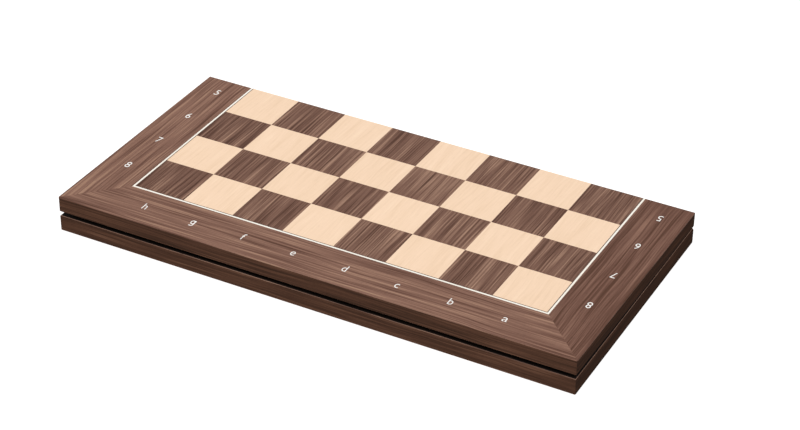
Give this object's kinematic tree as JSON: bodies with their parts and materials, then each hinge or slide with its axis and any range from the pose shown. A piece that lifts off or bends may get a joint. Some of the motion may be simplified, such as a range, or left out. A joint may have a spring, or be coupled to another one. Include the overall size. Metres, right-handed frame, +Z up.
{
  "type": "folding chess board",
  "caption": "Folding chess board of two veneered wooden panels joined by two recessed butt hinges, folded with the squares outside, mitred border, inlay line and pads.",
  "frame": {"origin": "middle of the base, on the surface that the folded board lies on", "axes": "+Z up, +X along the fold towards the a-file side, +Y towards the hinged edge"},
  "size_m": [0.497, 0.2496, 0.0341],
  "materials": {
    "fibreboard": "raw medium density fibreboard",
    "walnut": "walnut veneer, satin lacquer",
    "maple": "maple veneer, satin lacquer",
    "border": "walnut veneer, satin lacquer",
    "backing": "walnut veneer stained near black, matt lacquer, bare at the rounded rim",
    "stringing": "dark dyed veneer line",
    "inlay": "pale maple line, satin lacquer",
    "edge_band": "solid walnut, satin lacquer",
    "brass": "satin brass",
    "steel": "plain steel wire",
    "pad": "dark felt-faced rubber"
  },
  "bodies": {
    "lower_half": {"lower_core": "fibreboard", "lower_backing": "backing", "lower_light_squares": "maple", "lower_dark_squares": "walnut", "lower_stringing_front": "stringing", "lower_stringing_left": "stringing", "lower_stringing_right": "stringing", "lower_inlay_front": "inlay", "lower_inlay_left": "inlay", "lower_inlay_right": "inlay", "lower_border_front": "border", "lower_border_left": "border", "lower_border_right": "border", "lower_band_front": "edge_band", "lower_band_left": "edge_band", "lower_band_right": "edge_band", "lower_band_fold": "edge_band", "lower_pads": "pad", "lower_leaf_left": "brass", "lower_leaf_right": "brass", "lower_screws": "brass", "pin_left": "steel", "pin_right": "steel"},
    "upper_half": {"upper_core": "fibreboard", "upper_backing": "backing", "upper_light_squares": "maple", "upper_dark_squares": "walnut", "upper_stringing_front": "stringing", "upper_stringing_left": "stringing", "upper_stringing_right": "stringing", "upper_inlay_front": "inlay", "upper_inlay_left": "inlay", "upper_inlay_right": "inlay", "upper_border_front": "border", "upper_border_left": "border", "upper_border_right": "border", "upper_band_front": "edge_band", "upper_band_left": "edge_band", "upper_band_right": "edge_band", "upper_band_fold": "edge_band", "upper_pads": "pad", "upper_leaf_left": "brass", "upper_leaf_right": "brass", "upper_screws": "brass"}
  },
  "joints": [
    {"name": "fold_hinge", "type": "hinge", "parent": "lower_half", "child": "upper_half", "pos_m": [0, 0.12365, 0.01565], "axis": [-1, 0, 0], "range_deg": [0, 179.35]}
  ]
}
